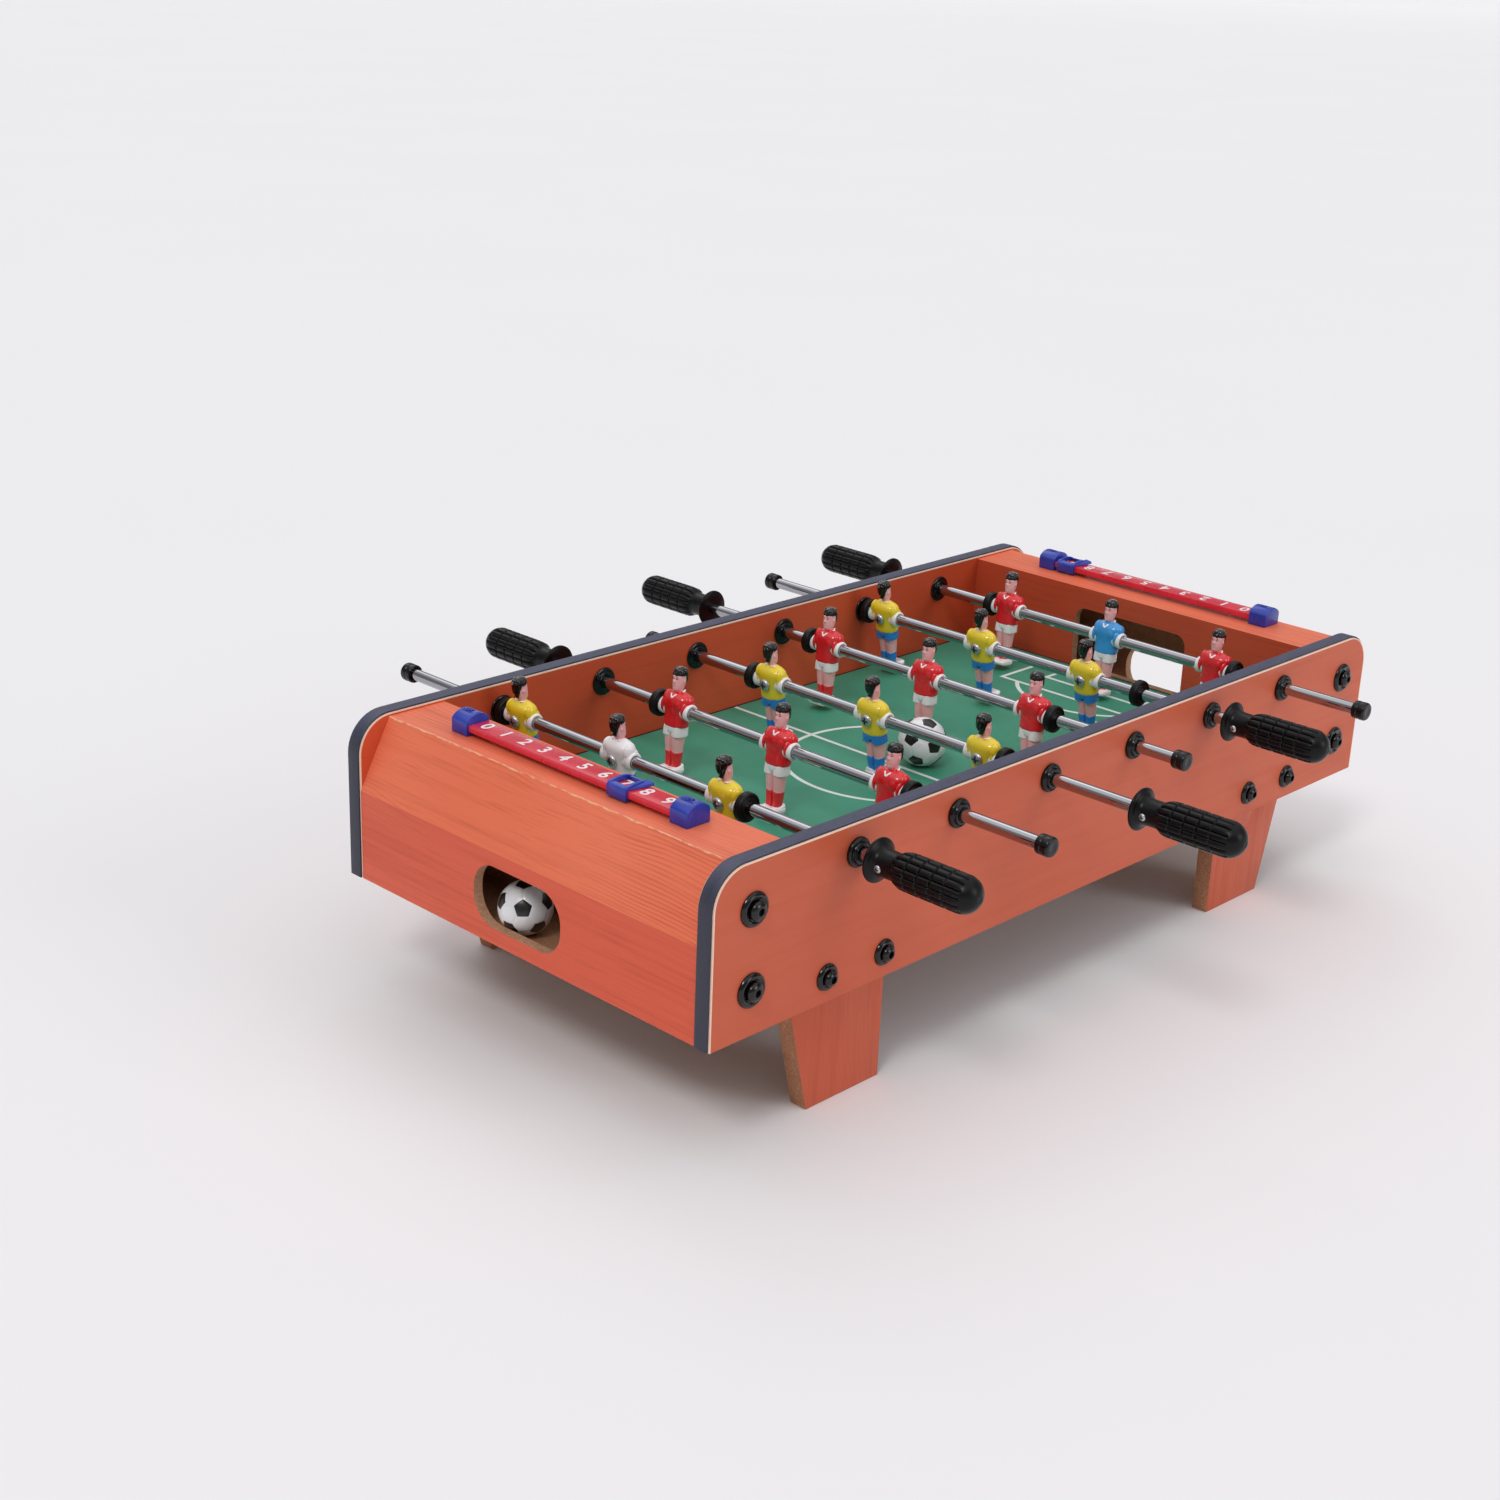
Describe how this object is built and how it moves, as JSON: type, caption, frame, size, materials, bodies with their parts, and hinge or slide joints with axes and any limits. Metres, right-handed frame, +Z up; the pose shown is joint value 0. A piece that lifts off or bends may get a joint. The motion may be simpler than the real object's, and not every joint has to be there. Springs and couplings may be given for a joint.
{
  "type": "tabletop foosball table",
  "caption": "Tabletop foosball table with sliding, spinning rods of players, folded goal boxes, score counters and flat legs.",
  "frame": {"origin": "on the floor under the middle of the table", "axes": "+X along the length towards the far goal, +Y across towards the back side panel, +Z up"},
  "size_m": [0.5, 0.4447, 0.1428],
  "materials": {
    "panel_foil": "satin wood-grain foil",
    "edge_band": "matte",
    "pitch_green": "painted board with white and black lines",
    "box_foil": "satin wood-grain foil",
    "raw_board": "raw fibreboard",
    "block_wood": "raw",
    "leg_foil": "satin wood-grain foil",
    "black_steel": "black",
    "zinc": "zinc plated",
    "black_plastic": "satin",
    "score_red": "gloss",
    "score_blue": "gloss",
    "chrome": "polished",
    "yellow_players": "painted plastic",
    "red_players": "painted plastic",
    "grip_plastic": "moulded",
    "black_rubber": "matte",
    "ball_white": "white with black patches"
  },
  "bodies": {
    "table": {"side_panel_front": "panel_foil", "side_panel_back": "panel_foil", "edge_bands": "edge_band", "pitch_board": "pitch_green", "goal_panel_near": "box_foil", "goal_panel_far": "box_foil", "end_board_near": "box_foil", "end_board_far": "box_foil", "end_covers": "box_foil", "ball_trays": "raw_board", "corner_blocks": "block_wood", "legs": "leg_foil", "frame_bolts": "black_steel", "bolt_washers": "black_steel", "insert_nuts": "zinc", "rod_bushings": "black_plastic", "bushing_rings": "black_plastic", "score_bars": "score_red", "score_blocks": "score_blue"},
    "rod_1_slide": {"rings_1": "black_rubber"},
    "rod_1_turn": {"rod_1": "chrome", "men_1": "yellow_players", "handle_1": "grip_plastic", "end_cap_1": "black_plastic", "screws_1": "zinc"},
    "rod_2_slide": {"rings_2": "black_rubber"},
    "rod_2_turn": {"rod_2": "chrome", "men_2": "red_players", "handle_2": "grip_plastic", "end_cap_2": "black_plastic", "screws_2": "zinc"},
    "rod_3_slide": {"rings_3": "black_rubber"},
    "rod_3_turn": {"rod_3": "chrome", "men_3": "yellow_players", "handle_3": "grip_plastic", "end_cap_3": "black_plastic", "screws_3": "zinc"},
    "rod_4_slide": {"rings_4": "black_rubber"},
    "rod_4_turn": {"rod_4": "chrome", "men_4": "red_players", "handle_4": "grip_plastic", "end_cap_4": "black_plastic", "screws_4": "zinc"},
    "rod_5_slide": {"rings_5": "black_rubber"},
    "rod_5_turn": {"rod_5": "chrome", "men_5": "yellow_players", "handle_5": "grip_plastic", "end_cap_5": "black_plastic", "screws_5": "zinc"},
    "rod_6_slide": {"rings_6": "black_rubber"},
    "rod_6_turn": {"rod_6": "chrome", "men_6": "red_players", "handle_6": "grip_plastic", "end_cap_6": "black_plastic", "screws_6": "zinc"},
    "loose_ring": {"loose_ring_5": "black_rubber"},
    "near_counter": {"score_slider_near": "score_blue"},
    "far_counter": {"score_slider_far": "score_blue"},
    "pitch_ball": {"pitch_ball": "ball_white"},
    "tray_ball": {"tray_ball": "ball_white"}
  },
  "joints": [
    {"name": "rod_1_push", "type": "slide", "parent": "table", "child": "rod_1_slide", "axis": [0, 1, 0], "range_m": [-0.052, 0]},
    {"name": "rod_1_spin", "type": "hinge", "parent": "rod_1_slide", "child": "rod_1_turn", "pos_m": [-0.165, 0, 0.121], "axis": [0, 1, 0], "continuous": true},
    {"name": "rod_2_push", "type": "slide", "parent": "table", "child": "rod_2_slide", "axis": [0, 1, 0], "range_m": [-0.0137, 0.0383]},
    {"name": "rod_2_spin", "type": "hinge", "parent": "rod_2_slide", "child": "rod_2_turn", "pos_m": [-0.099, 0, 0.121], "axis": [0, 1, 0], "continuous": true},
    {"name": "rod_3_push", "type": "slide", "parent": "table", "child": "rod_3_slide", "axis": [0, 1, 0], "range_m": [-0.013, 0.039]},
    {"name": "rod_3_spin", "type": "hinge", "parent": "rod_3_slide", "child": "rod_3_turn", "pos_m": [-0.033, 0, 0.121], "axis": [0, 1, 0], "continuous": true},
    {"name": "rod_4_push", "type": "slide", "parent": "table", "child": "rod_4_slide", "axis": [0, 1, 0], "range_m": [-0.0347, 0.0173]},
    {"name": "rod_4_spin", "type": "hinge", "parent": "rod_4_slide", "child": "rod_4_turn", "pos_m": [0.033, 0, 0.121], "axis": [0, 1, 0], "continuous": true},
    {"name": "rod_5_push", "type": "slide", "parent": "table", "child": "rod_5_slide", "axis": [0, 1, 0], "range_m": [-0.0513, 0.0007]},
    {"name": "rod_5_spin", "type": "hinge", "parent": "rod_5_slide", "child": "rod_5_turn", "pos_m": [0.099, 0, 0.121], "axis": [0, 1, 0], "continuous": true},
    {"name": "rod_6_push", "type": "slide", "parent": "table", "child": "rod_6_slide", "axis": [0, 1, 0], "range_m": [-0.016, 0.036]},
    {"name": "rod_6_spin", "type": "hinge", "parent": "rod_6_slide", "child": "rod_6_turn", "pos_m": [0.165, 0, 0.121], "axis": [0, 1, 0], "continuous": true},
    {"name": "loose_ring_slip", "type": "slide", "parent": "rod_5_slide", "child": "loose_ring", "axis": [0, 1, 0], "range_m": [-0.0003, 0.02116]},
    {"name": "near_counter_slide", "type": "slide", "parent": "table", "child": "near_counter", "axis": [0, 1, 0], "range_m": [-0.0231, 0.0941]},
    {"name": "far_counter_slide", "type": "slide", "parent": "table", "child": "far_counter", "axis": [0, 1, 0], "range_m": [-0.1151, 0.0021]},
    {"name": "pitch_ball_roll", "type": "slide", "parent": "table", "child": "pitch_ball", "axis": [0, 1, 0], "range_m": [-0.02, 0.02]},
    {"name": "tray_ball_roll", "type": "slide", "parent": "table", "child": "tray_ball", "axis": [0, 1, 0], "range_m": [-0.027, 0.003]}
  ],
  "couplings": [
    {"joint": "loose_ring_slip", "follows": "rod_5_push", "ratio": -0.41228}
  ]
}
